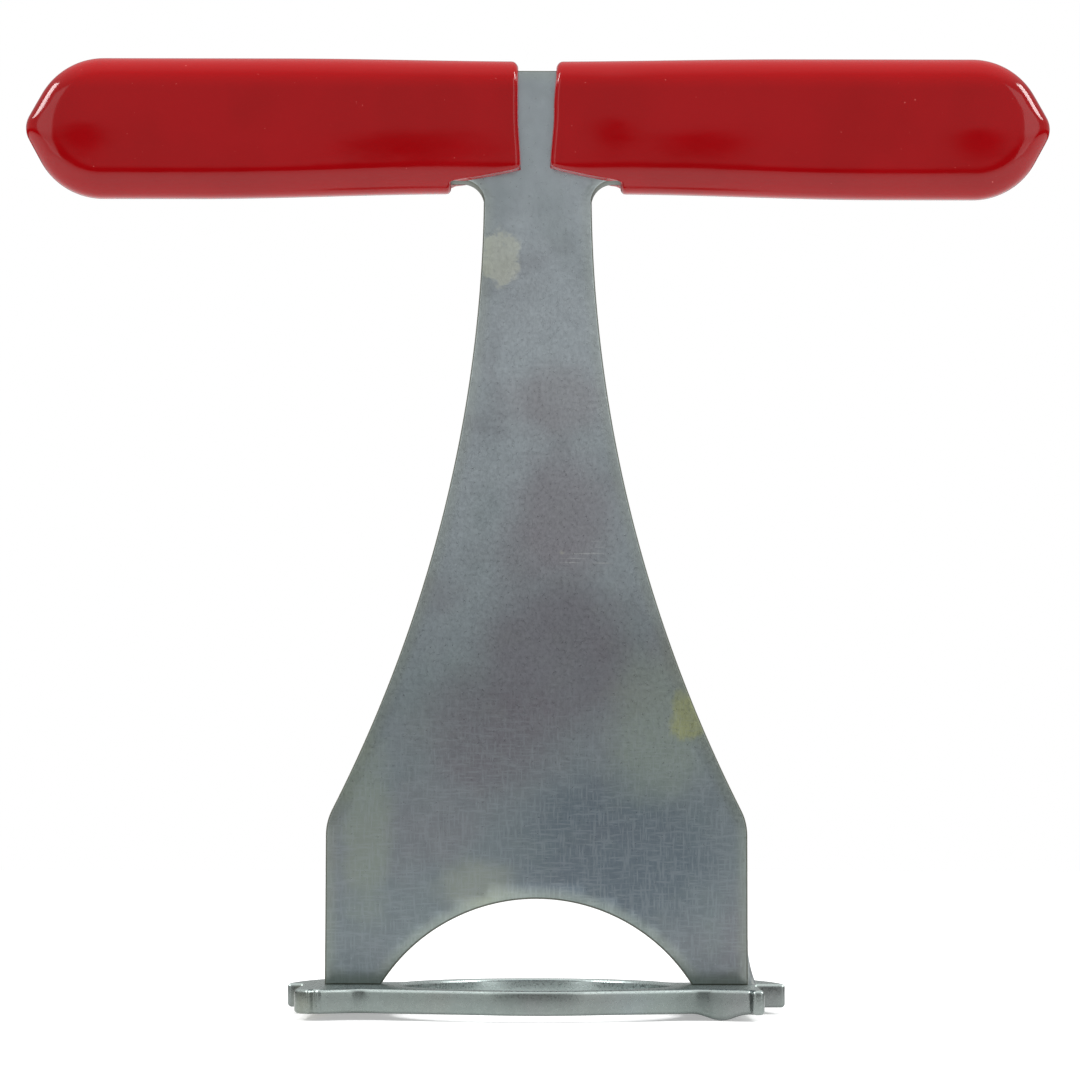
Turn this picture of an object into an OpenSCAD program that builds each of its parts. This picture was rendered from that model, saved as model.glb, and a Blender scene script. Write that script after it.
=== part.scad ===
// T-handled lug key: a flat blade that carries two slip-on grips, welded across a lugged ring.
// Millimetres. +X runs along the handle, +Y to the rear and +Z up.
// The origin is on the ring's axis, in the plane of its underside.

/* [Handle bar] */
// Thickness of the blade plate
plate_t = 5; // [4:0.5:6]
// Length of the handle bar over its round ends
bar_len = 223; // [210:1:236]
// Height of the handle bar
bar_h = 25.4; // [23:0.1:27]
// Height of the bar's centre line above the underside of the ring
bar_z = 198.6; // [195:0.2:205]
// Radius where the bar's lower edge runs into the neck
neck_fillet_r = 5; // [3:0.5:8]

/* [Blade] */
// Width of the neck at its narrowest
neck_w = 24.4; // [22:0.2:28]
// Radius of the two hollow sides
side_r = 312; // [300:1:330]
// Height at which the hollow sides are narrowest
waist_z = 184.3; // [182:0.1:186]
// Width over the two feet
foot_w = 93.8; // [90:0.2:98]
// Radius of the arch between the feet
arch_r = 41; // [39:0.5:42]
// Height of the arch's crown
arch_top_z = 24.2; // [22:0.2:28]

/* [Ring] */
// Thickness of the ring plate
ring_t = 5.3; // [4:0.1:6]
// Outer diameter of the ring
ring_od = 65.4; // [62:0.2:68]
// Diameter of the hole through the ring
ring_id = 60; // [50:0.5:62]
// Radius out to the ends of the lugs
lug_r = 55.8; // [54.5:0.1:57]
// Angle of the rear end of each lug, from the handle's direction
lug_rear_angle = 36; // [34:1:38]
// Distance from the axis to the cut front end of the right lug
right_front_reach = 48.9; // [48:0.1:50]
// Distance from the axis to the cut front end of the left lug
left_front_reach = 52.2; // [51:0.1:53]
// Height of the stop nib under the right lug
nib_h = 1.5; // [1:0.1:2]
// Width of the stop nib
nib_w = 10.8; // [8:0.2:12]

/* [Grips] */
// Height of a grip near its outer end
grip_h = 32.3; // [30:0.1:34]
// Height of a grip at its inner end
grip_inner_h = 30.4; // [29:0.1:32]
// How far the middle of a grip's outer end sits below the bar's centre line
grip_droop = 0.3; // [0:0.1:0.6]
// Front-to-back thickness of a grip
grip_t = 11; // [10:0.5:13]
// Distance from the centre line to the left grip's inner end
left_gap = 4.5; // [3.5:0.1:6]
// Distance from the centre line to the right grip's inner end
right_gap = 3.6; // [3:0.1:6]
// Length of the notch that clears the neck, cut in each grip's lower edge
notch_len = 15.2; // [14:0.2:18]
// How far the drip tip stands out past the round end
drip_tip = 1.5; // [0.5:0.1:3]

/* [Welds] */
// Leg of the fillet weld along the back of each foot
weld_leg = 4; // [3:0.5:5]
// Width of the weld's return round the outside of the right foot
return_w = 2; // [1:0.5:3]
// Height of that return
return_h = 10; // [6:0.5:12]

/* [Hidden] */
$fn = 96;
fine_fn = 720;
overlap = 1;
bar_bottom_z = bar_z - bar_h / 2;
foot_inner_x = sqrt(pow(arch_r, 2) - pow(arch_r - arch_top_z + ring_t, 2));
// Front outline of the lugs, as distances from the axis and towards the front
web_start = [14, 29.5];
right_lug_root = [36, 22];
right_lug_corner = [46, 25.7];
right_tooth = [46.3, 28.4];
left_lug_root = [38.4, 21.8];
left_lug_corner = [46.6, 25.8];
left_nick = [47.7, 25.2];
left_tooth = [49, 26.6];
left_bevel = 3.2;
lug_step_y = 3.8;
// Rear end of a lug: how far in its radial end face runs, and the corner of the notch at its root
rear_end_inner_r = 46.5;
rear_root = [34.6, 11.5];
nib_x = 39.5;
nib_y = -23.4;
// Slanted lower edge of a grip's front face, from the bar's lower edge
lip_rise_inner = 2.4;
lip_rise_outer = -0.4;
// Straight stretch at a grip's inner end, before its height starts to change
inner_land = 1;

// Mirrors its children to the left when side is -1
module on_side(side) {
    mirror([side < 0 ? 1 : 0, 0, 0]) children();
}

// Stands a front-view outline up as a plate of the given thickness, centred on the blade
module upright(thickness) {
    rotate([90, 0, 0]) linear_extrude(thickness, center = true) children();
}

// ---- Blade ----

module round_bar(length, height) {
    square([length - height, height], center = true);
    for (side = [-1, 1])
        translate([side * (length - height) / 2, 0]) circle(d = height);
}

module skirt_outline() {
    difference() {
        translate([-foot_w / 2, ring_t]) square([foot_w, bar_z - ring_t]);
        for (side = [-1, 1])
            translate([side * (neck_w / 2 + side_r), waist_z]) circle(r = side_r, $fn = fine_fn);
        translate([0, arch_top_z - arch_r]) circle(r = arch_r, $fn = fine_fn);
    }
}

module neck_fillet() {
    translate([neck_w / 2, bar_bottom_z - neck_fillet_r]) difference() {
        translate([-overlap, 0]) square([neck_fillet_r + overlap, neck_fillet_r + overlap]);
        translate([neck_fillet_r, 0]) circle(r = neck_fillet_r);
    }
}

module blade() {
    color("lightslategray") upright(plate_t) {
        translate([0, bar_z]) round_bar(bar_len, bar_h);
        skirt_outline();
        for (side = [-1, 1]) on_side(side) neck_fillet();
    }
}

// ---- Ring ----

// Rear part of a lug: a sector with a radial end and a notch at its root
module rear_lug() {
    reach = 2 * lug_r;
    intersection() {
        circle(r = lug_r, $fn = fine_fn);
        polygon([
            [0, lug_step_y],
            [reach, lug_step_y],
            [reach * cos(lug_rear_angle), reach * sin(lug_rear_angle)],
            [rear_end_inner_r * cos(lug_rear_angle), rear_end_inner_r * sin(lug_rear_angle)],
            rear_root,
            [0, rear_root[1]]
        ]);
    }
}

module right_front_lug() {
    polygon([
        [0, lug_step_y],
        [web_start[0], -web_start[1]],
        [right_lug_root[0], -right_lug_root[1]],
        [right_lug_corner[0], -right_lug_corner[1]],
        [right_tooth[0], -right_tooth[1]],
        [right_front_reach, -right_tooth[1]],
        [right_front_reach, lug_step_y]
    ]);
}

module left_front_lug() {
    polygon([
        [0, lug_step_y],
        [web_start[0], -web_start[1]],
        [left_lug_root[0], -left_lug_root[1]],
        [left_lug_corner[0], -left_lug_corner[1]],
        [left_nick[0], -left_nick[1]],
        [left_tooth[0], -left_tooth[1]],
        [left_front_reach, -left_tooth[1] + left_bevel],
        [left_front_reach, lug_step_y]
    ]);
}

module ring_outline() {
    circle(d = ring_od, $fn = fine_fn);
    rear_lug();
    right_front_lug();
    on_side(-1) {
        rear_lug();
        left_front_lug();
    }
}

// Shallow dome under the right lug, cut flush with the lug's front flank
module stop_nib() {
    dome_r = (pow(nib_w / 2, 2) + pow(nib_h, 2)) / (2 * nib_h);
    intersection() {
        translate([nib_x, nib_y, dome_r - nib_h]) sphere(r = dome_r, $fn = fine_fn / 4);
        translate([0, 0, -nib_h - overlap]) linear_extrude(nib_h + 2 * overlap) right_front_lug();
    }
}

module lug_ring() {
    color("slategray") difference() {
        union() {
            linear_extrude(ring_t) ring_outline();
            stop_nib();
        }
        translate([0, 0, -nib_h - overlap])
            cylinder(d = ring_id, h = ring_t + nib_h + 2 * overlap, $fn = fine_fn);
    }
}

// ---- Grips ----

// Round-edged sleeve with a full-round outer end and a drip tip, on the right-hand side
module sleeve(gap) {
    edge_r = grip_t / 2;
    end_x = bar_len / 2 - bar_h / 2;
    end_rise = grip_h / 2 - edge_r;
    inner_rise = grip_inner_h / 2 - edge_r;
    tip_x = end_x + grip_h / 2 + drip_tip - edge_r;
    hull() {
        translate([gap, 0, 0]) for (level = [-inner_rise, inner_rise])
            translate([0, 0, level]) rotate([0, 90, 0]) cylinder(r = edge_r, h = inner_land, $fn = 48);
        translate([end_x, 0, -grip_droop]) rotate([90, 0, 0])
            rotate_extrude($fn = 48) translate([end_rise, 0]) circle(r = edge_r, $fn = 32);
        translate([tip_x, 0, -grip_droop]) sphere(r = edge_r, $fn = 32);
    }
}

// Lower corner removed from a grip's inner end, to clear the neck
module neck_notch(gap) {
    upright(grip_t + 2 * overlap) polygon([
        [gap - overlap, -bar_h / 2 + lip_rise_inner],
        [gap, -bar_h / 2 + lip_rise_inner],
        [gap + notch_len, -bar_h / 2 + lip_rise_outer],
        [gap + notch_len, -grip_h],
        [gap - overlap, -grip_h]
    ]);
}

module grip(side, gap) {
    translate([0, 0, bar_z]) on_side(side) difference() {
        sleeve(gap);
        upright(plate_t) round_bar(bar_len, bar_h);
        neck_notch(gap);
    }
}

module left_grip() {
    color("firebrick") grip(-1, left_gap);
}

module right_grip() {
    color("firebrick") grip(1, right_gap);
}

// ---- Welds ----

// Fillet along the back of the right-hand foot, run past its outer end by the overrun
module foot_weld(overrun) {
    translate([foot_inner_x, plate_t / 2, ring_t])
        rotate([90, 0, 90]) linear_extrude(foot_w / 2 + overrun - foot_inner_x)
            polygon([[0, 0], [weld_leg, 0], [0, weld_leg]]);
}

// Hollow-faced fillet round the outside of a foot, carried back into the fillet behind it
module weld_return() {
    hollow_r = (pow(return_w, 2) + pow(return_h, 2)) / (2 * return_w);
    translate([foot_w / 2, overlap / 2, ring_t]) upright(plate_t + overlap) difference() {
        square([return_w, return_h]);
        translate([hollow_r, return_h]) circle(r = hollow_r, $fn = fine_fn);
    }
}

module left_weld() {
    color("darkgray") on_side(-1) foot_weld(0);
}

module right_weld() {
    color("darkgray") {
        foot_weld(return_w / 2);
        weld_return();
    }
}

blade();
lug_ring();
left_grip();
right_grip();
left_weld();
right_weld();
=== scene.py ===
"""A T-handled lug key: zinc-plated blade on an open hoop with two lugs, and two red dipped-vinyl grips."""
import math
import random

import bmesh
import bpy
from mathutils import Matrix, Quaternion, Vector
from mathutils.geometry import delaunay_2d_cdt
from mathutils.kdtree import KDTree


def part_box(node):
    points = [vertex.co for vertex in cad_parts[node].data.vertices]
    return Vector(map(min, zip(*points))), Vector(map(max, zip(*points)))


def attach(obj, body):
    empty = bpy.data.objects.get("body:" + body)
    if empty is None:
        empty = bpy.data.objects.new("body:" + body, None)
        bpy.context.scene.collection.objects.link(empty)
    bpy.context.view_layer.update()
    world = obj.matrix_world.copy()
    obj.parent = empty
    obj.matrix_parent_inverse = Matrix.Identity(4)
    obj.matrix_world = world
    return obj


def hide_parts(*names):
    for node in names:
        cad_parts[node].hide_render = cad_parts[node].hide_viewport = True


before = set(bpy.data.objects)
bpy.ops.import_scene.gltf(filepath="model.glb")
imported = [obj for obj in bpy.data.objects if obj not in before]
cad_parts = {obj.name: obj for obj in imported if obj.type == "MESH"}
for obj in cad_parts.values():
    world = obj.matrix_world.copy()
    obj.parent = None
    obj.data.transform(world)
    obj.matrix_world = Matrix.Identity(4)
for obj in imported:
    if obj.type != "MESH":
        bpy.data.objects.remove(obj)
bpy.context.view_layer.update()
BODY = "root"
MM = 0.001


# ---------------------------------------------------------------- camera

LENS_MM = 110.0
SENSOR_MM = 36.0
CAMERA_PLACE = (0.00064, -0.7395, 0.0382)
CAMERA_PITCH = math.radians(5.12)
CAMERA_ROLL = math.radians(0.1)


def make_camera():
    data = bpy.data.cameras.new("camera")
    data.lens = LENS_MM
    data.sensor_width = SENSOR_MM
    data.clip_start = 0.05
    data.clip_end = 50.0
    camera = bpy.data.objects.new("camera", data)
    camera.location = CAMERA_PLACE
    camera.rotation_mode = "QUATERNION"
    look = Quaternion((1, 0, 0), math.radians(90) + CAMERA_PITCH)
    camera.rotation_quaternion = look @ Quaternion((0, 0, 1), CAMERA_ROLL)
    bpy.context.scene.collection.objects.link(camera)
    bpy.context.scene.camera = camera


make_camera()


# ---------------------------------------------------------------- sizes

blade_low, blade_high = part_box("blade")
ring_low, ring_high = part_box("lug_ring")
grip_low, grip_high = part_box("right_grip")
_, left_grip_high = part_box("left_grip")

# All lengths from here on are in millimetres, and a finished mesh is scaled to metres
PLATE_T = (blade_high.y - blade_low.y) / MM
RING_T = blade_low.z / MM
BAR_TOP = blade_high.z / MM
BAR_HALF_LEN = blade_high.x / MM
BAR_HALF_H = 12.7
BAR_Z = BAR_TOP - BAR_HALF_H
BAR_END_X = BAR_HALF_LEN - BAR_HALF_H
NECK_HALF_W = 12.2
NECK_FILLET_R = 5.0
SIDE_R = 312.0
WAIST_Z = 184.3
FOOT_HALF_W = 46.9
ARCH_R = 41.0
ARCH_TOP = 24.2

RING_R = 32.7
BORE_R = 30.0
LUG_STEP_Y = 3.8
LUG_R = math.hypot(ring_high.x / MM, LUG_STEP_Y)


# ---------------------------------------------------------------- mesh helpers

def finish_object(name, verts, faces, smooth_angle=35.0):
    """Makes an object from millimetre vertices, in metres, smooth except across sharp edges."""
    mesh = bpy.data.meshes.new(name)
    mesh.from_pydata([(x * MM, y * MM, z * MM) for x, y, z in verts], [], faces)
    mesh.validate()
    mesh.update()
    piece = bpy.data.objects.new(name, mesh)
    bpy.context.scene.collection.objects.link(piece)
    mesh.shade_smooth()
    mesh.set_sharp_from_angle(angle=math.radians(smooth_angle))
    return piece


def arc(cx, cy, r, start, end, count):
    """Points on an arc from start to end degrees, both ends included."""
    steps = [start + (end - start) * i / count for i in range(count + 1)]
    return [(cx + r * math.cos(math.radians(a)), cy + r * math.sin(math.radians(a))) for a in steps]


def without_repeats(points, least=1e-4):
    kept = []
    for p in points:
        if not kept or math.dist(p, kept[-1]) > least:
            kept.append(p)
    if math.dist(kept[0], kept[-1]) <= least:
        kept.pop()
    return kept


def rounded(points, corners):
    """Rounds the named corners of a closed outline. corners is a list of ((x, y), setback)."""
    points = without_repeats(points)
    for corner, setback in corners:
        at = min(range(len(points)), key=lambda i: math.dist(points[i], corner))
        apex = points[at]
        count = len(points)

        def walk(step):
            left, i = setback, at
            while True:
                a, b = points[i % count], points[(i + step) % count]
                length = math.dist(a, b)
                if length >= left:
                    t = left / length
                    return (a[0] + (b[0] - a[0]) * t, a[1] + (b[1] - a[1]) * t), abs(i - at) + 1
                left -= length
                i += step

        before, back = walk(-1)
        after, ahead = walk(1)
        bend = []
        steps = 7
        for k in range(steps + 1):
            t = k / steps
            bend.append(tuple(
                (1 - t) ** 2 * before[j] + 2 * t * (1 - t) * apex[j] + t * t * after[j] for j in (0, 1)))
        ring = points[at:] + points[:at]
        ring = bend + ring[ahead:count - back + 1]
        points = without_repeats(ring)
    return points


def resampled(points, spacing):
    """Splits the long segments of a closed outline."""
    out = []
    for a, b in zip(points, points[1:] + points[:1]):
        pieces = max(1, round(math.dist(a, b) / spacing))
        out += [(a[0] + (b[0] - a[0]) * k / pieces, a[1] + (b[1] - a[1]) * k / pieces) for k in range(pieces)]
    return out


def normals(points):
    """Outward unit normals of a closed anticlockwise outline."""
    out = []
    count = len(points)
    for i in range(count):
        a, b, c = points[i - 1], points[i], points[(i + 1) % count]
        n = [0.0, 0.0]
        for p, q in ((a, b), (b, c)):
            length = math.dist(p, q)
            n[0] += (q[1] - p[1]) / length
            n[1] -= (q[0] - p[0]) / length
        length = math.hypot(*n)
        out.append((n[0] / length, n[1] / length))
    return out


def inset(points, distance):
    return [(p[0] - n[0] * distance, p[1] - n[1] * distance) for p, n in zip(points, normals(points))]


def fill(loops, spacing):
    """Triangles between an outer loop and its holes, with a grid of points inside for an even mesh."""
    coords, edges = [], []
    for loop in loops:
        first = len(coords)
        coords += [Vector(p) for p in loop]
        edges += [(first + i, first + (i + 1) % len(loop)) for i in range(len(loop))]
    border = len(coords)
    low_x, high_x = min(p[0] for p in loops[0]), max(p[0] for p in loops[0])
    low_y, high_y = min(p[1] for p in loops[0]), max(p[1] for p in loops[0])
    rows = int((high_y - low_y) / spacing) + 1
    columns = int((high_x - low_x) / spacing) + 1
    cells = {}
    for p in coords:
        cells.setdefault((int(p.x // spacing), int(p.y // spacing)), []).append(p)
    for row in range(rows):
        for column in range(columns):
            p = Vector((low_x + (column + 0.5 * (row % 2)) * spacing, low_y + (row + 0.5) * spacing))
            cell = (int(p.x // spacing), int(p.y // spacing))
            around = [(cell[0] + i, cell[1] + j) for i in (-1, 0, 1) for j in (-1, 0, 1)]
            near = [q for key in around for q in cells.get(key, [])]
            if all((p - q).length > 0.6 * spacing for q in near):
                coords.append(p)
    verts, _, faces, origin, _, _ = delaunay_2d_cdt(coords, edges, [], 0, 1e-6)
    return verts, faces, [list(o) for o in origin], border


OUTLINE_STEP = 0.5


class Plate:
    """A closed plate with rounded edges: loops stacked through its thickness and a filled face each side."""

    def __init__(self, loops, thickness, edge_r, steps=4, spacing=3.0):
        self.verts, self.faces = [], []
        levels = []
        for k in range(steps + 1):
            a = math.radians(90 * k / steps)
            levels.append((edge_r * (1 - math.sin(a)), edge_r * (1 - math.cos(a))))
        heights = [(i, h) for i, h in levels] + [(i, thickness - h) for i, h in reversed(levels)]
        stacks = []
        for loop in loops:
            stack = []
            for inward, height in heights:
                first = len(self.verts)
                self.verts += [(x, y, height) for x, y in inset(loop, inward)]
                stack.append(range(first, first + len(loop)))
            for lower, upper in zip(stack, stack[1:]):
                count = len(loop)
                for i in range(count):
                    j = (i + 1) % count
                    self.faces.append((lower[i], lower[j], upper[j], upper[i]))
            stacks.append(stack)
        for side in (0, -1):
            self.cap([s[side] for s in stacks], spacing, flip=(side == 0))
        self.depth = self.depths([p for loop in loops for p in resampled(loop, OUTLINE_STEP)])

    def depths(self, outline):
        """Distance of each vertex from the nearest edge of the outline."""
        tree = KDTree(len(outline))
        for i, (x, y) in enumerate(outline):
            tree.insert((x, y, 0.0), i)
        tree.balance()
        return [tree.find((x, y, 0.0))[2] for x, y, _ in self.verts]

    def cap(self, rings, spacing, flip):
        loops = [[self.verts[i][:2] for i in ring] for ring in rings]
        height = self.verts[rings[0][0]][2]
        order = [i for ring in rings for i in ring]
        verts, faces, origin, border = fill(loops, spacing)
        index = []
        for v, source in zip(verts, origin):
            known = [s for s in source if s < border]
            if known:
                index.append(order[known[0]])
            else:
                index.append(len(self.verts))
                self.verts.append((v.x, v.y, height))
        for face in faces:
            middle = [sum(verts[i][axis] for i in face) / len(face) for axis in (0, 1)]
            if inside(middle, loops):
                ids = [index[i] for i in face]
                self.faces.append(tuple(reversed(ids)) if flip else tuple(ids))


def inside(p, loops):
    """Whether a point is within the outer loop and outside its holes."""
    hit = False
    for loop in loops:
        for a, b in zip(loop, loop[1:] + loop[:1]):
            if (a[1] > p[1]) != (b[1] > p[1]):
                if p[0] < a[0] + (b[0] - a[0]) * (p[1] - a[1]) / (b[1] - a[1]):
                    hit = not hit
    return hit


def add_depth(piece, values):
    """Stores how far in from an edge each vertex is, in millimetres, for wear, tint and the hoop's painted
    edge highlight.
    """
    layer = piece.data.attributes.new("edge_mm", "FLOAT", "POINT")
    layer.data.foreach_set("value", values)


def settle(piece, body_nodes):
    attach(piece, BODY)
    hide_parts(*body_nodes)


# ---------------------------------------------------------------- blade

BLADE_EDGE_R = 0.45
FOOT_CORNER = 3.0


def blade_outline():
    """Front-view outline, anticlockwise, from the right foot's inner corner."""
    arch_z = ARCH_TOP - ARCH_R
    foot_in = math.sqrt(ARCH_R ** 2 - (RING_T - arch_z) ** 2)
    side_x = NECK_HALF_W + SIDE_R
    corner_z = WAIST_Z - math.sqrt(SIDE_R ** 2 - (side_x - FOOT_HALF_W) ** 2)
    fillet_z = BAR_Z - BAR_HALF_H - NECK_FILLET_R
    side_low = math.degrees(math.asin((corner_z - WAIST_Z) / SIDE_R))
    side_high = math.degrees(math.asin((fillet_z - WAIST_Z) / SIDE_R))
    right = [(foot_in, RING_T), (FOOT_HALF_W, RING_T)]
    right += arc(side_x, WAIST_Z, SIDE_R, 180 - side_low, 180 - side_high, 90)
    right += arc(NECK_HALF_W + NECK_FILLET_R, fillet_z, NECK_FILLET_R, 180, 90, 12)
    right += arc(BAR_END_X, BAR_Z, BAR_HALF_H, -90, 90, 32)
    left = [(-x, z) for x, z in reversed(right)]
    arch_angle = math.degrees(math.asin((RING_T - arch_z) / ARCH_R))
    arch = arc(0, arch_z, ARCH_R, 180 - arch_angle, arch_angle, 60)
    corners = [((side * FOOT_HALF_W, corner_z), FOOT_CORNER) for side in (1, -1)]
    outline = rounded(right + left + arch, corners)
    return resampled(outline, 2.0)


def make_blade():
    plate = Plate([blade_outline()], PLATE_T, BLADE_EDGE_R, steps=3, spacing=3.0)
    verts = [(x, PLATE_T / 2 - t, z) for x, z, t in plate.verts]
    blade = finish_object("blade_plate", verts, plate.faces)
    add_depth(blade, plate.depth)
    settle(blade, ["blade"])
    return blade


# ---------------------------------------------------------------- ring

LUG_REAR_ANGLE = 36.0
REAR_END_INNER_R = 46.5
REAR_ROOT = (34.6, 11.5)
WEB_START = (14.0, -29.5)
RIGHT_REACH = 48.9
LEFT_REACH = 52.2
RIGHT_FRONT = [(36.0, -22.0), (46.0, -25.7), (46.3, -28.4), (RIGHT_REACH, -28.4)]
LEFT_FRONT = [(38.4, -21.8), (46.6, -25.8), (47.7, -25.2), (49.0, -26.6), (LEFT_REACH, -23.4)]
RING_EDGE_R = 0.9
NIB_PLACE = (39.5, -23.4)
NIB_H = -ring_low.z / MM
NIB_REACH = 6.2


def half_ring(front, reach):
    """Right-hand half of the ring's outline, from the front of the ring round to its back."""
    web_angle = math.degrees(math.atan2(WEB_START[1], WEB_START[0]))
    points = arc(0, 0, RING_R, -90, web_angle, 14)
    points += front + [(reach, LUG_STEP_Y)]
    step_angle = math.degrees(math.asin(LUG_STEP_Y / LUG_R))
    points += arc(0, 0, LUG_R, step_angle, LUG_REAR_ANGLE, 18)
    end = math.radians(LUG_REAR_ANGLE)
    points += [(REAR_END_INNER_R * math.cos(end), REAR_END_INNER_R * math.sin(end)), REAR_ROOT]
    root_angle = math.degrees(math.asin(REAR_ROOT[1] / RING_R))
    points += arc(0, 0, RING_R, root_angle, 90, 30)
    return points


def ring_corners(front, setbacks, reach):
    end = math.radians(LUG_REAR_ANGLE)
    corners = list(zip(front, setbacks))
    corners += [
        ((reach, LUG_STEP_Y), 0.5),
        ((math.sqrt(LUG_R ** 2 - LUG_STEP_Y ** 2), LUG_STEP_Y), 1.1),
        ((LUG_R * math.cos(end), LUG_R * math.sin(end)), 1.6),
        ((REAR_END_INNER_R * math.cos(end), REAR_END_INNER_R * math.sin(end)), 1.6),
        (REAR_ROOT, 1.6),
        ((math.sqrt(RING_R ** 2 - REAR_ROOT[1] ** 2), REAR_ROOT[1]), 1.6),
        (WEB_START, 4.0),
    ]
    return corners


def ring_outline():
    right = half_ring(RIGHT_FRONT, RIGHT_REACH)
    left = [(-x, y) for x, y in reversed(half_ring(LEFT_FRONT, LEFT_REACH))]
    corners = ring_corners(RIGHT_FRONT, [2.2, 0.7, 1.0, 1.2], RIGHT_REACH)
    corners += [((-x, y), r) for (x, y), r in ring_corners(LEFT_FRONT, [2.2, 0.6, 0.5, 0.8, 1.4], LEFT_REACH)]
    return resampled(rounded(right + left, corners), 1.2)


def nib_drop(x, y):
    """How far the underside hangs down at a point, for the stop nib."""
    d = math.dist((x, y), NIB_PLACE) / NIB_REACH
    return NIB_H * 0.5 * (1 + math.cos(math.pi * d)) if d < 1 else 0.0


def make_ring():
    bore = arc(0, 0, BORE_R, 360, 0, 120)[:-1]
    plate = Plate([ring_outline(), bore], RING_T, RING_EDGE_R, steps=5, spacing=1.6)
    verts = []
    for x, y, z in plate.verts:
        lower = max(0.0, 1 - z / (0.6 * RING_T))
        verts.append((x, y, z - nib_drop(x, y) * lower))
    ring = finish_object("lug_ring_plate", verts, plate.faces)
    add_depth(ring, plate.depth)
    settle(ring, ["lug_ring"])
    return ring


# ---------------------------------------------------------------- grips

EDGE_REACH = 6.5
EDGE_POWER = 2.2


def smooth_step(t):
    t = max(0.0, min(1.0, t))
    return t * t * (3 - 2 * t)


def edge_drop(distance, r):
    """How far a surface falls away at a distance from an edge rounded to radius r."""
    left = min(r, max(0.0, r - distance))
    return r - math.sqrt(r * r - left * left)


def face_thickness(depth, half_t):
    """Half thickness of a flat body at a depth in from its outline, rounded over the edge reach."""
    u = 1 - max(0.0, min(1.0, depth / EDGE_REACH))
    return half_t * (1 - u ** EDGE_POWER) ** (1 / EDGE_POWER)


def edge_spacing(half_t, half_h, count=400):
    """Heights from 0 to 1 that are evenly spaced along the section's curve, from mid-face to edge."""
    path = [(0.0, 0.0)]
    last = (0.0, half_t)
    for k in range(1, count + 1):
        u = math.sin(math.radians(90 * k / count))
        here = (u * half_h, face_thickness(half_h * (1 - u), half_t))
        path.append((path[-1][0] + math.dist(here, last), u))
        last = here
    return path


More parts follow.
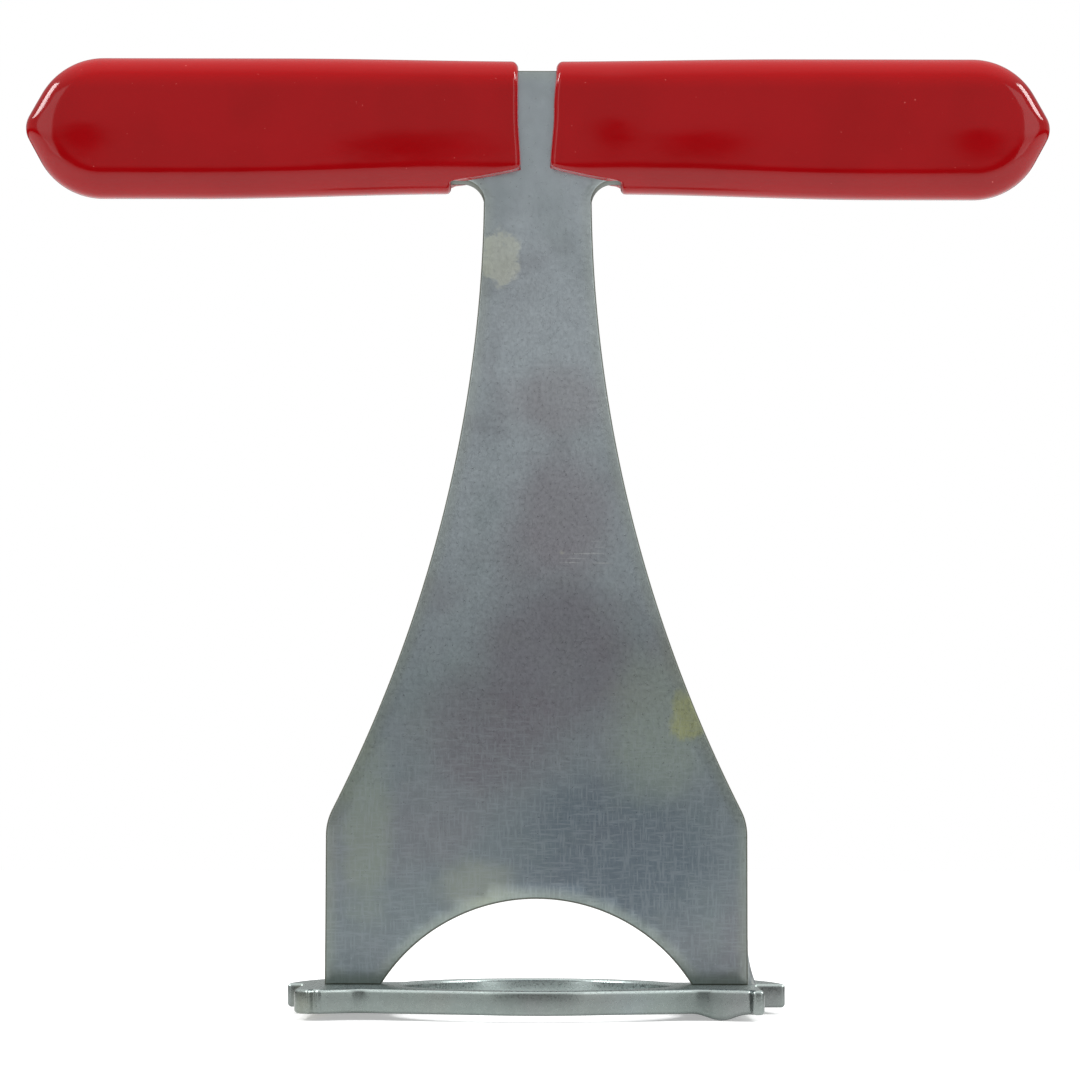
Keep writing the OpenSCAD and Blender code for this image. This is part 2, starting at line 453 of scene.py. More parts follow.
class Grip:
    """Dipped sleeve on the right-hand side of the bar: outer skin, wall, neck notch and cavity.

    A section's points are placed by a number that runs from 0 at the bottom centre, up the front to 2 at
    the top centre and down the back to 4."""

    HALF_T = 5.0
    TIP_R = 5.4
    TOP_H = grip_high.z / MM - BAR_Z - 0.02
    LOW_H = BAR_Z - grip_low.z / MM - 0.02
    END_R = (TOP_H + LOW_H) / 2
    END_Z = (TOP_H - LOW_H) / 2
    INNER_H = 15.2
    TOP_RISE = 58
    LOW_START = 16
    LOW_FALL = 62
    TIP_X = grip_high.x / MM - 0.02
    LIP_BEND = 0.35
    LIP_STEP = -13.2
    RIM_R = 1.5
    LIP_R = 0.8
    STEP_R = 1.1
    RIDGE_BLEND = 6.0
    WAVE_INSET = 5
    CAVITY_END = BAR_HALF_LEN - 0.3
    BAR_CORNER = 1.7
    FLARE_REACH = 6.0
    CURVE = edge_spacing(HALF_T, END_R)
    LEANS = [(math.cos(math.radians(k)), math.sin(math.radians(k))) for k in range(91)]

    def __init__(self, gap, notch, lip, flare_low, flare_top, waves):
        self.gap, self.step, self.lip_inner = gap, gap + notch, lip
        self.flare_low, self.flare_top, self.waves = flare_low, flare_top, waves
        self.verts, self.faces = [], []
        self.build()

    def span(self, x):
        """Middle and half height of the outline at a distance from the key's centre line."""
        if x >= BAR_END_X:
            return self.END_Z, self.half_end(x)
        top = self.INNER_H + (self.TOP_H - self.INNER_H) * smooth_step(x / self.TOP_RISE)
        low = self.INNER_H + (self.LOW_H - self.INNER_H) * smooth_step((x - self.LOW_START) / self.LOW_FALL)
        return (top - low) / 2, (top + low) / 2

    def half_end(self, x):
        """Half height where the big end circle runs into the small circle of the drip tip."""
        tip_centre = self.TIP_X - self.TIP_R
        lean = math.asin((self.END_R - self.TIP_R) / (tip_centre - BAR_END_X))
        if x < BAR_END_X + self.END_R * math.sin(lean):
            return math.sqrt(self.END_R ** 2 - (x - BAR_END_X) ** 2)
        if x < tip_centre + self.TIP_R * math.sin(lean):
            return (self.END_R - (x - BAR_END_X) * math.sin(lean)) / math.cos(lean)
        return math.sqrt(max(0.0, self.TIP_R ** 2 - (x - tip_centre) ** 2))

    def depth(self, x, z, half):
        """How far in from the outline a point is, with the ridge to the tip softened."""
        if x < BAR_END_X - self.END_R:
            return half - abs(z)
        least = self.end_depth(x, abs(z))
        blend = min(self.RIDGE_BLEND, 1.2 * least)
        if abs(z) < blend:
            least = self.end_depth(x, z * z / (2 * blend) + blend / 2)
        return least

    def end_depth(self, x, height):
        """Depth in from the nearest of the lines that wrap the end circle and the tip circle."""
        tip_centre = self.TIP_X - self.TIP_R
        return max(0.0, min(
            max(BAR_END_X * c + self.END_R, tip_centre * c + self.TIP_R) - x * c - height * n
            for c, n in self.LEANS))

    def wave(self, x, z):
        """Slight unevenness of the dipped skin, which bends its reflections."""
        return sum(
            rise * math.exp(-((x - cx) / rx) ** 2 - ((z - cz) / rz) ** 2)
            for cx, cz, rx, rz, rise in self.waves)

    def lip_z(self, x):
        """Height of the notch's edge over the neck fillet, from the middle of the bar."""
        t = min(1.0, (x - self.gap) / (self.step - self.gap))
        return self.lip_inner + (self.LIP_STEP - self.lip_inner) * (t + self.LIP_BEND * t * (1 - t))

    def lip_where(self, x):
        middle, half = self.span(x)
        u = (middle - self.lip_z(x)) / half
        path = self.CURVE
        q = next(length for length, height in path if height >= u) / path[-1][0]
        return 1 - q

    def height(self, where):
        """Share of the half height, from -1 at the bottom to 1 at the top, at a place in the section."""
        w = where if where < 2 else 4 - where
        target = abs(w - 1) * self.CURVE[-1][0]
        low, high = 0, len(self.CURVE) - 1
        while high - low > 1:
            mid = (low + high) // 2
            if self.CURVE[mid][0] > target:
                high = mid
            else:
                low = mid
        a, b = self.CURVE[low], self.CURVE[high]
        t = (target - a[0]) / (b[0] - a[0])
        u = min(1.0, a[1] + (b[1] - a[1]) * t)
        return u if w > 1 else -u

    def outer(self, x, where, drop=0.0):
        """Point of the skin at a place in the section, sunk by the drop of a rounded rim."""
        middle, half = self.span(x)
        half -= edge_drop(x - self.gap, self.RIM_R)
        z = half * self.height(where)
        depth = self.depth(x, z, half)
        y = face_thickness(depth, self.HALF_T) - edge_drop(x - self.gap, self.RIM_R) - drop
        y += self.wave(x, z) * smooth_step(depth / self.WAVE_INSET)
        on_edge = where in (0, 2, 4) or y < 0
        z *= 1 - drop / half * abs(z / half) ** 3
        return (0.0 if on_edge else y if where > 2 else -y), middle + z

    def inner(self, x, where):
        """Point of the cavity, which fits the bar, at a place in the section."""
        half_w = PLATE_T / 2 + 0.02
        h = BAR_HALF_H + 0.02
        if x > BAR_END_X:
            h = math.sqrt(max(3.0, h * h - (x - BAR_END_X) ** 2))
        lip = self.lip_where(min(x, self.step))
        side = -1 if where < 2 else 1
        w = where if where < 2 else 4 - where
        low = max(self.lip_z(x), -h) if x < self.step else -h
        if w < lip - 1e-9:
            y, z = half_w * w / lip, -h
        elif w < self.BAR_CORNER:
            y, z = half_w, low + (h - low) * (w - lip) / (self.BAR_CORNER - lip)
        else:
            y, z = half_w * (2 - w) / (2 - self.BAR_CORNER), h
        return side * y, z

    def wheres(self, x):
        """Section places from the front lip over the top to the back lip, then round the bottom."""
        lip = self.lip_where(x)
        front = [lip + n for n in (0, 0.006, 0.016, 0.03, 0.05, 0.08)]
        start = front[-1]
        front += [start + (2 - start) * k / 46 for k in range(1, 47)]
        front[-1] = 2
        over = front + [4 - w for w in reversed(front[:-1])]
        bottom = [lip * (1 - k / 9) for k in range(1, 9)] + [0]
        under = [4 - w for w in bottom[:-1]] + [0] + [w for w in reversed(bottom[:-1])]
        return over, under

    def shifted(self, x, y, z):
        """Lets the cut end lean, as hand-pushed sleeves do."""
        fade = math.exp(-((x - self.gap) / self.FLARE_REACH) ** 2)
        low = smooth_step((3 - z) / 13) * self.flare_low
        high = smooth_step((z - 4) / 10) * self.flare_top
        return x + (high - low) * fade, y, z + BAR_Z

    def add(self, points):
        first = len(self.verts)
        self.verts += points
        return list(range(first, first + len(points)))

    def bridge(self, a, b, closed=False):
        count = len(a)
        for i in range(count if closed else count - 1):
            j = (i + 1) % count
            self.faces.append((a[i], a[j], b[j], b[i]))

    def stations(self):
        rim = [0, 0.05, 0.15, 0.3, 0.5, 0.75, 1.1, 1.5, 2.2, 3.2]
        near = [self.gap + d for d in rim]
        notch = self.step - near[-1]
        near += [near[-1] + notch * k / 12 for k in range(1, 13)]
        far = [self.step + d for d in (0, 0.05, 0.15, 0.3, 0.5, 0.75, 1.1, 1.8, 3.0)]
        far += [far[-1] + (BAR_END_X - far[-1]) * k / 60 for k in range(1, 61)]
        reach = self.TIP_X - BAR_END_X
        tip = [BAR_END_X + reach * math.sin(math.radians(90 * k / 36)) for k in range(1, 36)]
        return near, far + tip

    def build(self):
        near, far = self.stations()
        skin, lining = [], []
        for x in near:
            over, _ = self.wheres(x)
            lip = over[0]
            span = self.CURVE[-1][0]
            points = []
            for w in over:
                reach = (min(w, 4 - w) - lip) * span
                fade = 1 - smooth_step((x - self.step + 0.6) / 0.6)
                points.append(self.outer(x, w, edge_drop(reach, self.LIP_R) * fade))
            skin.append(self.add([self.shifted(x, y, z) for y, z in points]))
            lining.append(self.add([self.shifted(x, *self.inner(x, w)) for w in over]))
        for a, b in zip(skin, skin[1:]):
            self.bridge(a, b)
        for a, b in zip(lining, lining[1:]):
            self.bridge(b, a)
        self.bridge(lining[0], skin[0])
        self.bridge([s[0] for s in skin], [s[0] for s in lining])
        self.bridge([s[-1] for s in lining], [s[-1] for s in skin])

        rings, holes = [], []
        for x in far:
            over, under = self.wheres(self.step)
            drop = edge_drop(x - self.step, self.STEP_R)
            lower = [self.shifted(x, *self.outer(x, w, drop)) for w in under]
            cavity = [self.shifted(x, *self.inner(x, w)) for w in under]
            if x == self.step:
                rings.append(skin[-1] + self.add(lower))
                holes.append(lining[-1] + self.add(cavity))
                continue
            rings.append(self.add([self.shifted(x, *self.outer(x, w)) for w in over] + lower))
            if x <= self.CAVITY_END:
                holes.append(self.add([self.shifted(x, *self.inner(x, w)) for w in over] + cavity))
        for a, b in zip(rings, rings[1:]):
            self.bridge(a, b, closed=True)
        for a, b in zip(holes, holes[1:]):
            self.bridge(b, a, closed=True)
        over_count = len(skin[-1])
        wall_out = rings[0][over_count - 1:] + [rings[0][0]]
        wall_in = holes[0][over_count - 1:] + [holes[0][0]]
        self.bridge(wall_out, wall_in)
        self.faces.append(tuple(holes[-1]))
        tip = self.add([(self.TIP_X, 0.0, BAR_Z + self.END_Z)])[0]
        last = rings[-1]
        self.faces += [(last[i], last[(i + 1) % len(last)], tip) for i in range(len(last))]


def fix_normals(piece):
    work = bmesh.new()
    work.from_mesh(piece.data)
    bmesh.ops.recalc_face_normals(work, faces=work.faces)
    work.to_mesh(piece.data)
    work.free()


def make_grip(name, node, side, grip):
    verts = [(side * x, y, z) for x, y, z in grip.verts]
    piece = finish_object(name, verts, grip.faces, smooth_angle=50.0)
    fix_normals(piece)
    settle(piece, [node])
    return piece


# ---------------------------------------------------------------- welds

class Bead:
    """Fillet weld with ripples along a straight run, in the corner at the back of a foot."""
    PITCH = 1.3
    LEG = 4.0

    def __init__(self, start, end, draw):
        self.verts, self.faces = [], []
        steps = 90
        ring = 14
        loops = []
        for i in range(steps + 1):
            t = i / steps
            x = start + (end - start) * t
            ends = min(1.0, 12 * t, 12 * (1 - t)) ** 0.5
            loops.append([self.point(x, ends, k / (ring - 2), draw) for k in range(ring - 1)] + [
                (x, PLATE_T / 2 + 0.01, RING_T + 0.01)])
        for loop in loops:
            self.verts += loop
        for i in range(steps):
            for k in range(ring):
                a, b = i * ring, (i + 1) * ring
                m = (k + 1) % ring
                self.faces.append((a + k, a + m, b + m, b + k))
        self.faces.append(tuple(range(ring)))
        self.faces.append(tuple(reversed(range(steps * ring, (steps + 1) * ring))))

    def point(self, x, ends, t, draw):
        """Point on the bead's face: t runs from the ring's top, out and up to the blade's back."""
        a = math.radians(90 * t)
        phase = x / self.PITCH - 0.35 * math.sin(math.pi * t)
        ripple = 0.16 * abs(math.sin(math.pi * phase)) + 0.05 * draw.uniform(-1, 1)
        leg = (self.LEG - 0.25 + 0.2 * math.sin(0.9 * x)) * max(ends, 0.12)
        chord = leg / (math.cos(a) + math.sin(a))
        bulge = (0.35 + ripple) * math.sin(2 * a) * max(ends, 0.12)
        r = chord + bulge * 0.6
        return x, PLATE_T / 2 + r * math.cos(a), RING_T + r * math.sin(a)


def make_weld(name, node, side, with_return):
    foot_in = math.sqrt(ARCH_R ** 2 - (RING_T - ARCH_TOP + ARCH_R) ** 2)
    draw = random.Random(11 if side > 0 else 12)
    bead = Bead(foot_in + 0.1, FOOT_HALF_W - (0.0 if with_return else 0.15), draw)
    verts, faces = list(bead.verts), list(bead.faces)
    if with_return:
        add_return(verts, faces)
    verts = [(side * x, y, z) for x, y, z in verts]
    piece = finish_object(name, verts, faces, smooth_angle=60.0)
    fix_normals(piece)
    settle(piece, [node])
    return piece


def add_return(verts, faces):
    """Hollow-faced fillet carried round the outside of the foot."""
    width, height = 1.9, 9.8
    hollow_r = (width ** 2 + height ** 2) / (2 * width)
    depth_steps, height_steps = 16, 14
    first = len(verts)
    ring = height_steps + 2
    for i in range(depth_steps + 1):
        t = i / depth_steps
        y = -PLATE_T / 2 + 0.3 + (PLATE_T + 0.6) * t
        full = min(1.0, 0.45 + 3 * t, 0.5 + 3 * (1 - t))
        for k in range(height_steps + 1):
            z = height * k / height_steps
            out = hollow_r - math.sqrt(hollow_r ** 2 - (height - z) ** 2)
            verts.append((FOOT_HALF_W + max(0.02, out * full), y, RING_T + 0.01 + z))
        verts.append((FOOT_HALF_W - 0.3, y, RING_T + 0.01))
    for i in range(depth_steps):
        a, b = first + i * ring, first + (i + 1) * ring
        for k in range(ring):
            m = (k + 1) % ring
            faces.append((a + k, a + m, b + m, b + k))
    faces.append(tuple(range(first, first + ring)))
    faces.append(tuple(reversed(range(first + depth_steps * ring, first + (depth_steps + 1) * ring))))


# ---------------------------------------------------------------- materials

class Nodes:
    """Short calls for a material's node tree."""

    def __init__(self, name):
        self.material = bpy.data.materials.new(name)
        self.material.use_nodes = True
        self.tree = self.material.node_tree
        self.shader = self.tree.nodes["Principled BSDF"]
        coords = self.tree.nodes.new("ShaderNodeTexCoord")
        scale = self.tree.nodes.new("ShaderNodeMapping")
        scale.inputs["Scale"].default_value = (1000.0, 1000.0, 1000.0)
        self.link(coords.outputs["Object"], scale.inputs["Vector"])
        self.mm = scale.outputs["Vector"]

    def link(self, a, b):
        self.tree.links.new(a, b)

    def put(self, value, socket):
        if hasattr(value, "is_linked") or hasattr(value, "links"):
            self.link(value, socket)
        else:
            socket.default_value = value

    def math(self, operation, a, b=0.0, clamp=False):
        node = self.tree.nodes.new("ShaderNodeMath")
        node.operation = operation
        node.use_clamp = clamp
        self.put(a, node.inputs[0])
        self.put(b, node.inputs[1])
        return node.outputs[0]

    def stretch(self, scale, turn=(0.0, 0.0, 0.0), shift=(0.0, 0.0, 0.0)):
        node = self.tree.nodes.new("ShaderNodeMapping")
        node.inputs["Scale"].default_value = scale
        node.inputs["Rotation"].default_value = [math.radians(a) for a in turn]
        node.inputs["Location"].default_value = shift
        self.link(self.mm, node.inputs["Vector"])
        return node.outputs["Vector"]

    def noise(self, vector, scale, detail=3.0, roughness=0.55, distortion=0.0):
        node = self.tree.nodes.new("ShaderNodeTexNoise")
        self.link(vector, node.inputs["Vector"])
        node.inputs["Scale"].default_value = scale
        node.inputs["Detail"].default_value = detail
        node.inputs["Roughness"].default_value = roughness
        node.inputs["Distortion"].default_value = distortion
        return node.outputs["Fac"]

    def ramp(self, value, low, high, low_out=0.0, high_out=1.0):
        node = self.tree.nodes.new("ShaderNodeMapRange")
        node.interpolation_type = "SMOOTHSTEP"
        self.put(value, node.inputs["Value"])
        node.inputs["From Min"].default_value = low
        node.inputs["From Max"].default_value = high
        node.inputs["To Min"].default_value = low_out
        node.inputs["To Max"].default_value = high_out
        return node.outputs["Result"]

    def mix(self, share, a, b, blend="MIX"):
        node = self.tree.nodes.new("ShaderNodeMix")
        node.data_type = "RGBA"
        node.blend_type = blend
        self.put(share, node.inputs["Factor"])
        self.put(a if not isinstance(a, tuple) else (*a, 1.0), node.inputs[6])
        self.put(b if not isinstance(b, tuple) else (*b, 1.0), node.inputs[7])
        return node.outputs[2]

    def axes(self):
        node = self.tree.nodes.new("ShaderNodeSeparateXYZ")
        self.link(self.mm, node.inputs[0])
        return node.outputs

    def spot(self, centre, reach):
        """1 at a point, falling to 0 over the reach, which may differ along each axis."""
        scale = tuple(1.0 / r for r in reach)
        vector = self.stretch(scale, shift=tuple(-c / r for c, r in zip(centre, reach)))
        node = self.tree.nodes.new("ShaderNodeVectorMath")
        node.operation = "LENGTH"
        self.link(vector, node.inputs[0])
        return self.ramp(node.outputs["Value"], 0.0, 1.0, 1.0, 0.0)

    def attribute(self, name):
        node = self.tree.nodes.new("ShaderNodeAttribute")
        node.attribute_name = name
        return node.outputs["Fac"]

    def bump(self, height, distance_mm, strength=1.0):
        node = self.tree.nodes.new("ShaderNodeBump")
        node.inputs["Strength"].default_value = strength
        node.inputs["Distance"].default_value = distance_mm * MM
        self.link(height, node.inputs["Height"])
        self.link(node.outputs["Normal"], self.shader.inputs["Normal"])


def patch(n, centre, reach, ragged=0.5, middle=0.4, soft=0.4):
    """A blotch round a point (x, z), with an edge broken up by noise."""
    spread = n.spot((centre[0], 0.0, centre[1]), (reach[0], 40.0, reach[1]))
    grain = n.noise(n.stretch((1, 1, 1), shift=(centre[0], 7, centre[1])), 1.6 / min(reach), 5.0, 0.65)
    ragged_spread = n.math("ADD", spread, n.math("MULTIPLY", n.math("SUBTRACT", grain, 0.5), ragged))
    return n.ramp(ragged_spread, middle - soft, middle + soft)


def zinc(name, low, high):
    """Blue-grey zinc plate, paler upwards as painted light, with clouded tints and fine mottling."""
    n = Nodes(name)
    x, y, z = n.axes()
    # Painted light: low to high grows paler up the blade, for the brighter reflection near its top
    colour = n.mix(n.ramp(z, 35.0, 165.0), low, high)
    cloud = n.noise(n.stretch((1, 1, 1)), 0.035, 3.0, 0.5, 0.4)
    colour = n.mix(n.ramp(cloud, 0.45, 0.7, 0.0, 0.35), colour, (0.21, 0.19, 0.21))
    cloud = n.noise(n.stretch((1, 1, 0.6), shift=(40, 0, 15)), 0.045, 3.0, 0.5)
    colour = n.mix(n.ramp(cloud, 0.5, 0.72, 0.0, 0.3), colour, (0.20, 0.26, 0.25))
    mottle = n.noise(n.stretch((1, 1, 1)), 0.3, 5.0, 0.7)
    colour = n.mix(n.ramp(mottle, 0.3, 0.7, 0.0, 0.3), colour, (0.7, 0.7, 0.72), "MULTIPLY")
    return n, colour, (x, y, z)


def edge_wear(n, colour, width):
    """How raw each place is, and the colour with dark, dull greenish-brown edges."""
    raw = n.ramp(n.attribute("edge_mm"), 0.5 * width, width, 1.0, 0.0)
    return raw, n.mix(n.math("MULTIPLY", raw, 0.85), colour, (0.085, 0.09, 0.07))


# Stains and painted reflections: middle (x, z), reach (x, z), share and tint. On the blade, the purple-brown
# and dark blue patches down the middle are partly stain and partly painted reflection of the dark space in
# front; the greenish ones are tints in the plating.
BLADE_STAINS_AND_REFLECTIONS = [
    ((4.5, 136), (18, 14), 0.35, (0.34, 0.29, 0.31)),
    ((6, 110), (20, 24), 0.45, (0.29, 0.25, 0.28)),
    ((4.5, 77.5), (30, 30), 0.55, (0.165, 0.14, 0.165)),
    ((-9, 60), (22, 22), 0.5, (0.15, 0.13, 0.15)),
    ((17.8, 35), (38, 30), 0.65, (0.095, 0.125, 0.155)),
    ((27, 62), (18, 28), 0.4, (0.27, 0.33, 0.25)),
    ((-38, 40), (9, 34), 0.4, (0.28, 0.33, 0.25)),
    ((-13.3, 27), (14, 9), 0.4, (0.32, 0.35, 0.27)),
]


def make_blade_material():
    """Zinc with stains and painted reflections, a woven grain low down, a few scratches and a dry residue on
    the neck.
    """
    n, colour, (_, _, z) = zinc("zinc_blade", (0.183, 0.218, 0.232), (0.54, 0.605, 0.64))
    # Stains, with the dark patches down the middle painted as reflection of the dark space in front
    for centre, reach, share, tint in BLADE_STAINS_AND_REFLECTIONS:
        colour = n.mix(n.math("MULTIPLY", patch(n, centre, reach, 0.8), share), colour, tint)
    stain = patch(n, (33.6, 65), (8, 11), 1.2, 0.5, 0.25)
    colour = n.mix(n.math("MULTIPLY", stain, 0.6), colour, (0.36, 0.38, 0.15))
    residue = patch(n, (-8.5, 168), (8.5, 12), 1.8, 0.5, 0.16)
    colour = n.mix(n.math("MULTIPLY", residue, 0.35), colour, (0.60, 0.60, 0.42))
    low_only = n.ramp(z, 55.0, 85.0, 1.0, 0.0)
    weft = n.noise(n.stretch((0.12, 1, 1)), 2.6, 2.0, 0.6)
    warp = n.noise(n.stretch((1, 1, 0.12)), 2.6, 2.0, 0.6)
    weave = n.math("MULTIPLY", n.ramp(n.math("MAXIMUM", weft, warp), 0.45, 0.7, 0.0, 0.3), low_only)
    colour = n.mix(weave, colour, (0.30, 0.34, 0.36))
    scratch = n.ramp(n.noise(n.stretch((0.05, 1, 1), (0, 62, 0)), 1.6, 1.0, 0.4), 0.62, 0.7)
    rubbed = n.math("MULTIPLY", scratch, patch(n, (11, 99), (9, 9)))
    colour = n.mix(n.math("MULTIPLY", rubbed, 0.6), colour, (0.55, 0.57, 0.57))
    near_edge = n.ramp(n.attribute("edge_mm"), 0.5, 3.5, 0.18, 0.0)
    colour = n.mix(near_edge, colour, (0.34, 0.38, 0.24))
    raw, colour = edge_wear(n, colour, 0.45)
    n.link(colour, n.shader.inputs["Base Color"])
    n.shader.inputs["Metallic"].default_value = 1.0
    speck = n.noise(n.stretch((1, 1, 1)), 1.2, 4.0, 0.7)
    rough = n.math("ADD", n.ramp(speck, 0.3, 0.7, 0.27, 0.36), n.math("MULTIPLY", raw, 0.3))
    n.link(n.math("ADD", rough, n.math("MULTIPLY", residue, 0.08)), n.shader.inputs["Roughness"])
    relief = n.math("ADD", n.math("MULTIPLY", speck, 0.6), n.math("MULTIPLY", weave, 0.5))
    n.bump(relief, 0.02, 0.4)
    return n.material


# The same for the hoop and its lugs, seen from the front. The dark patch at the middle is painted reflection
# of the dark space in front, the very dark one at x 35.5 painted shade in the right lug's inner corner, the
# pale one at x 47.5 a painted highlight on the lug's end facet, and the blue one at x 19 and the warm one at
# x -21 painted light from the side lamps; the yellow-brown one at the left end is a stain.
RING_STAINS_AND_PAINTED_LIGHT = [
    ((0, 2.5), (5, 20), 0.45, (0.11, 0.12, 0.12)),
    ((35.5, 2.5), (13, 20), 0.95, (0.06, 0.08, 0.08)),
    ((19, 2.5), (12, 20), 0.6, (0.24, 0.30, 0.35)),
    ((47.5, 2.5), (3.5, 20), 0.9, (0.42, 0.46, 0.43)),
    ((-21, 2.5), (16, 20), 0.3, (0.26, 0.25, 0.20)),
    ((-50, 2.5), (6, 20), 0.7, (0.19, 0.185, 0.11)),
]


def make_ring_material():
    """Stained zinc with painted light, shade and reflection on its front, and painted light making the top
    face, the bore and the edges paler.
    """
    grey = (0.170, 0.198, 0.189)
    n, colour, (x, y, z) = zinc("zinc_ring", grey, grey)
    # A stain at the left end; the other patches are painted reflection, shade, highlight and light
    for centre, reach, share, tint in RING_STAINS_AND_PAINTED_LIGHT:
        colour = n.mix(n.math("MULTIPLY", patch(n, centre, reach), share), colour, tint)
    # Painted light: the top face is paler, for the light it catches and the bright room it mirrors
    colour = n.mix(n.ramp(z, 4.4, 5.1, 0.0, 0.8), colour, (0.58, 0.67, 0.65))
    # Painted light: the bore wall is paler, as if lit inside
    across = n.math("SQRT", n.math("ADD", n.math("MULTIPLY", x, x), n.math("MULTIPLY", y, y)))
    colour = n.mix(n.ramp(across, BORE_R + 0.1, BORE_R + 0.9, 0.5, 0.0), colour, (0.62, 0.72, 0.71))
    # Painted highlight: the hoop is paler within 1.6 mm of each edge, for the gleam along its rounded edges
    raw = n.ramp(n.attribute("edge_mm"), 0.0, 1.6, 0.12, 0.0)
    colour = n.mix(raw, colour, (0.40, 0.44, 0.40))
    n.link(colour, n.shader.inputs["Base Color"])
    n.shader.inputs["Metallic"].default_value = 1.0
    speck = n.noise(n.stretch((1, 1, 1)), 1.5, 4.0, 0.7)
    n.link(n.ramp(speck, 0.3, 0.7, 0.24, 0.36), n.shader.inputs["Roughness"])
    n.bump(speck, 0.012, 0.5)
    return n.material


def make_weld_material():
    n = Nodes("weld_bead")
    speck = n.noise(n.stretch((1, 1, 1)), 2.0, 4.0, 0.7)
    colour = n.mix(n.ramp(speck, 0.35, 0.7), (0.34, 0.38, 0.39), (0.5, 0.52, 0.5))
    n.link(colour, n.shader.inputs["Base Color"])
    n.shader.inputs["Metallic"].default_value = 1.0
    n.link(n.ramp(speck, 0.3, 0.7, 0.35, 0.5), n.shader.inputs["Roughness"])
    n.bump(speck, 0.05, 0.6)
    return n.material


def make_vinyl_material():
    """Glossy red vinyl, brighter along the top edge as painted light, with faint clouds, ripples and dust."""
    n = Nodes("dipped_vinyl")
    cloud = n.noise(n.stretch((1, 1, 1)), 0.05, 2.0, 0.5)
    colour = n.mix(n.ramp(cloud, 0.35, 0.65), (0.23, 0.001, 0.0022), (0.25, 0.0012, 0.0028))
    _, _, z = n.axes()
    # Painted light: the red brightens over the top 8 mm, for light falling on and through the top edge
    colour = n.mix(n.ramp(z, 206.0, 213.5, 0.0, 0.85), colour, (0.42, 0.0015, 0.003))
    dust = n.noise(n.stretch((1, 1, 1)), 1.3, 1.0, 0.4)
    speck = n.ramp(dust, 0.80, 0.84)
    colour = n.mix(n.math("MULTIPLY", speck, 0.35), colour, (0.75, 0.2, 0.18))
    n.link(colour, n.shader.inputs["Base Color"])
    smear = n.noise(n.stretch((0.3, 1, 1)), 0.12, 3.0, 0.6)
    n.link(n.ramp(smear, 0.3, 0.7, 0.08, 0.14), n.shader.inputs["Roughness"])
    n.shader.inputs["IOR"].default_value = 1.5
    n.shader.inputs["Specular IOR Level"].default_value = 0.3
    ripple = n.noise(n.stretch((0.6, 1, 1)), 0.16, 2.0, 0.5)
    n.bump(n.math("ADD", ripple, n.math("MULTIPLY", speck, 0.05)), 0.12, 0.35)
    return n.material


# ---------------------------------------------------------------- stage and light

def make_floor():
    """Plain pale floor that gives off a little light, so that it reads white to its far edge."""
    size = 3.0
    mesh = bpy.data.meshes.new("floor")
    rings, count = 24, 96
    verts, faces = [(0.0, 0.0, ring_low.z)], []
    for k in range(1, rings + 1):
        r = size * (k / rings) ** 1.5
        verts += [(r * math.cos(2 * math.pi * i / count), r * math.sin(2 * math.pi * i / count), ring_low.z)
                  for i in range(count)]
    for i in range(count):
        faces.append((0, 1 + i, 1 + (i + 1) % count))
    for k in range(rings - 1):
        a, b = 1 + k * count, 1 + (k + 1) * count
        faces += [(a + i, b + i, b + (i + 1) % count, a + (i + 1) % count) for i in range(count)]
    mesh.from_pydata(verts, [], faces)
    floor = bpy.data.objects.new("floor", mesh)
    bpy.context.scene.collection.objects.link(floor)
    n = Nodes("pale_floor")
    n.shader.inputs["Base Color"].default_value = (0.9, 0.9, 0.9, 1.0)
    n.shader.inputs["Roughness"].default_value = 0.8
    n.shader.inputs["Emission Color"].default_value = (1.0, 1.0, 1.0, 1.0)
    n.shader.inputs["Emission Strength"].default_value = 0.38
    floor.data.materials.append(n.material)


def area_light(name, place, target, width, height, watts, colour=(1, 1, 1)):
    data = bpy.data.lights.new(name, "AREA")
    data.shape = "RECTANGLE"
    data.size, data.size_y = width, height
    data.energy = watts
    data.color = colour
    light = bpy.data.objects.new(name, data)
    light.location = place
    light.rotation_mode = "QUATERNION"
    light.rotation_quaternion = (Vector(target) - Vector(place)).to_track_quat("-Z", "Y")
    bpy.context.scene.collection.objects.link(light)


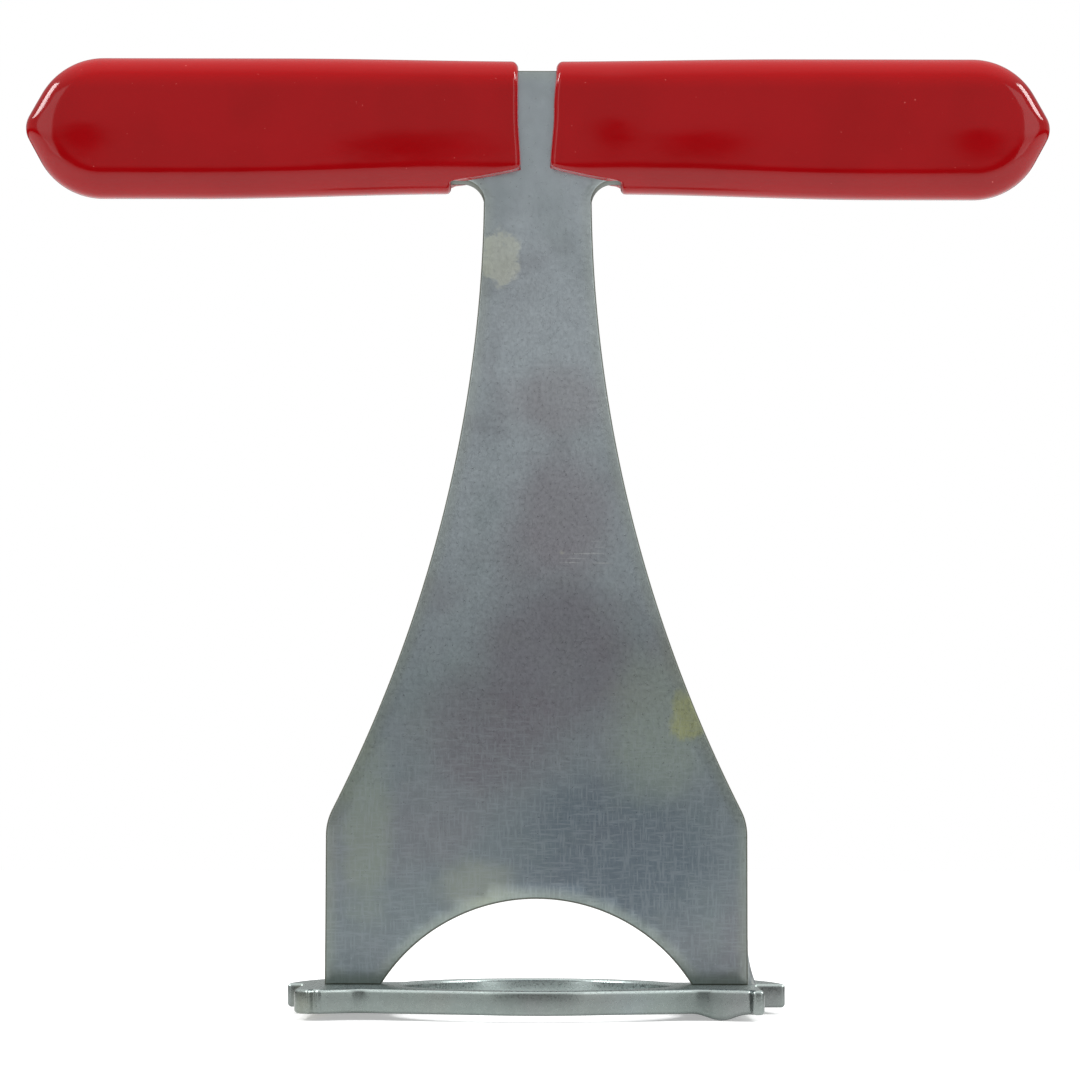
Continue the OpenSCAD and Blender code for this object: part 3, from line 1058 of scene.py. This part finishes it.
def make_world():
    """White behind the object, and for lighting a room that is bright overhead and dimmer round the walls."""
    world = bpy.data.worlds.new("studio")
    world.use_nodes = True
    tree = world.node_tree
    background = tree.nodes["Background"]
    path = tree.nodes.new("ShaderNodeLightPath")
    coords = tree.nodes.new("ShaderNodeTexCoord")
    axes = tree.nodes.new("ShaderNodeSeparateXYZ")
    tree.links.new(coords.outputs["Generated"], axes.inputs[0])
    ramp = tree.nodes.new("ShaderNodeValToRGB")
    tree.links.new(axes.outputs["Z"], ramp.inputs["Fac"])
    stops = [(0.0, 0.03), (0.1, 0.03), (0.17, 0.5), (0.6, 0.5), (0.8, 0.9), (1.0, 1.2)]
    while len(ramp.color_ramp.elements) < len(stops):
        ramp.color_ramp.elements.new(0.5)
    for element, (place, grey) in zip(ramp.color_ramp.elements, stops):
        element.position = place
        element.color = (grey, grey, grey, 1.0)
    mix = tree.nodes.new("ShaderNodeMix")
    mix.data_type = "RGBA"
    tree.links.new(ramp.outputs["Color"], mix.inputs[6])
    mix.inputs[7].default_value = (1.0, 1.0, 1.0, 1.0)
    tree.links.new(path.outputs["Is Camera Ray"], mix.inputs["Factor"])
    tree.links.new(mix.outputs[2], background.inputs["Color"])
    bpy.context.scene.world = world


def make_light():
    make_world()
    middle = (0.0, 0.0, 0.12)
    area_light("left_box", (-0.75, -0.85, 0.45), middle, 0.4, 0.8, 1.4)
    area_light("right_box", (0.75, -0.85, 0.45), middle, 0.4, 0.8, 1.7)
    for side in (-1, 1):
        area_light("high_side_box", (side * 0.9, -0.18, 0.82), (side * 0.05, 0.0, 0.15), 0.34, 0.34, 6.5)


# ---------------------------------------------------------------- build

bpy.context.scene.view_settings.view_transform = "Standard"
make_blade().data.materials.append(make_blade_material())
make_ring().data.materials.append(make_ring_material())
vinyl = make_vinyl_material()
# Each grip's waves: middle x and z, reach in x and z, and height
LEFT_WAVES = [(103, 1.5, 6.5, 6, 0.46), (28, -0.5, 20, 6.5, 0.45)]
RIGHT_WAVES = [(100, 0.5, 7, 6, 0.46), (17, 4, 6, 8, 0.46), (37, 0, 13, 6.5, 0.42)]
NOTCH_LEN = 15.2
left = Grip(-left_grip_high.x / MM, NOTCH_LEN, -10.2, flare_low=0.6, flare_top=0.0, waves=LEFT_WAVES)
right = Grip(grip_low.x / MM, NOTCH_LEN, -9.8, flare_low=0.8, flare_top=0.6, waves=RIGHT_WAVES)
make_grip("left_sleeve", "left_grip", -1, left).data.materials.append(vinyl)
make_grip("right_sleeve", "right_grip", 1, right).data.materials.append(vinyl)
weld = make_weld_material()
make_weld("left_bead", "left_weld", -1, False).data.materials.append(weld)
make_weld("right_bead", "right_weld", 1, True).data.materials.append(weld)
make_floor()
make_light()
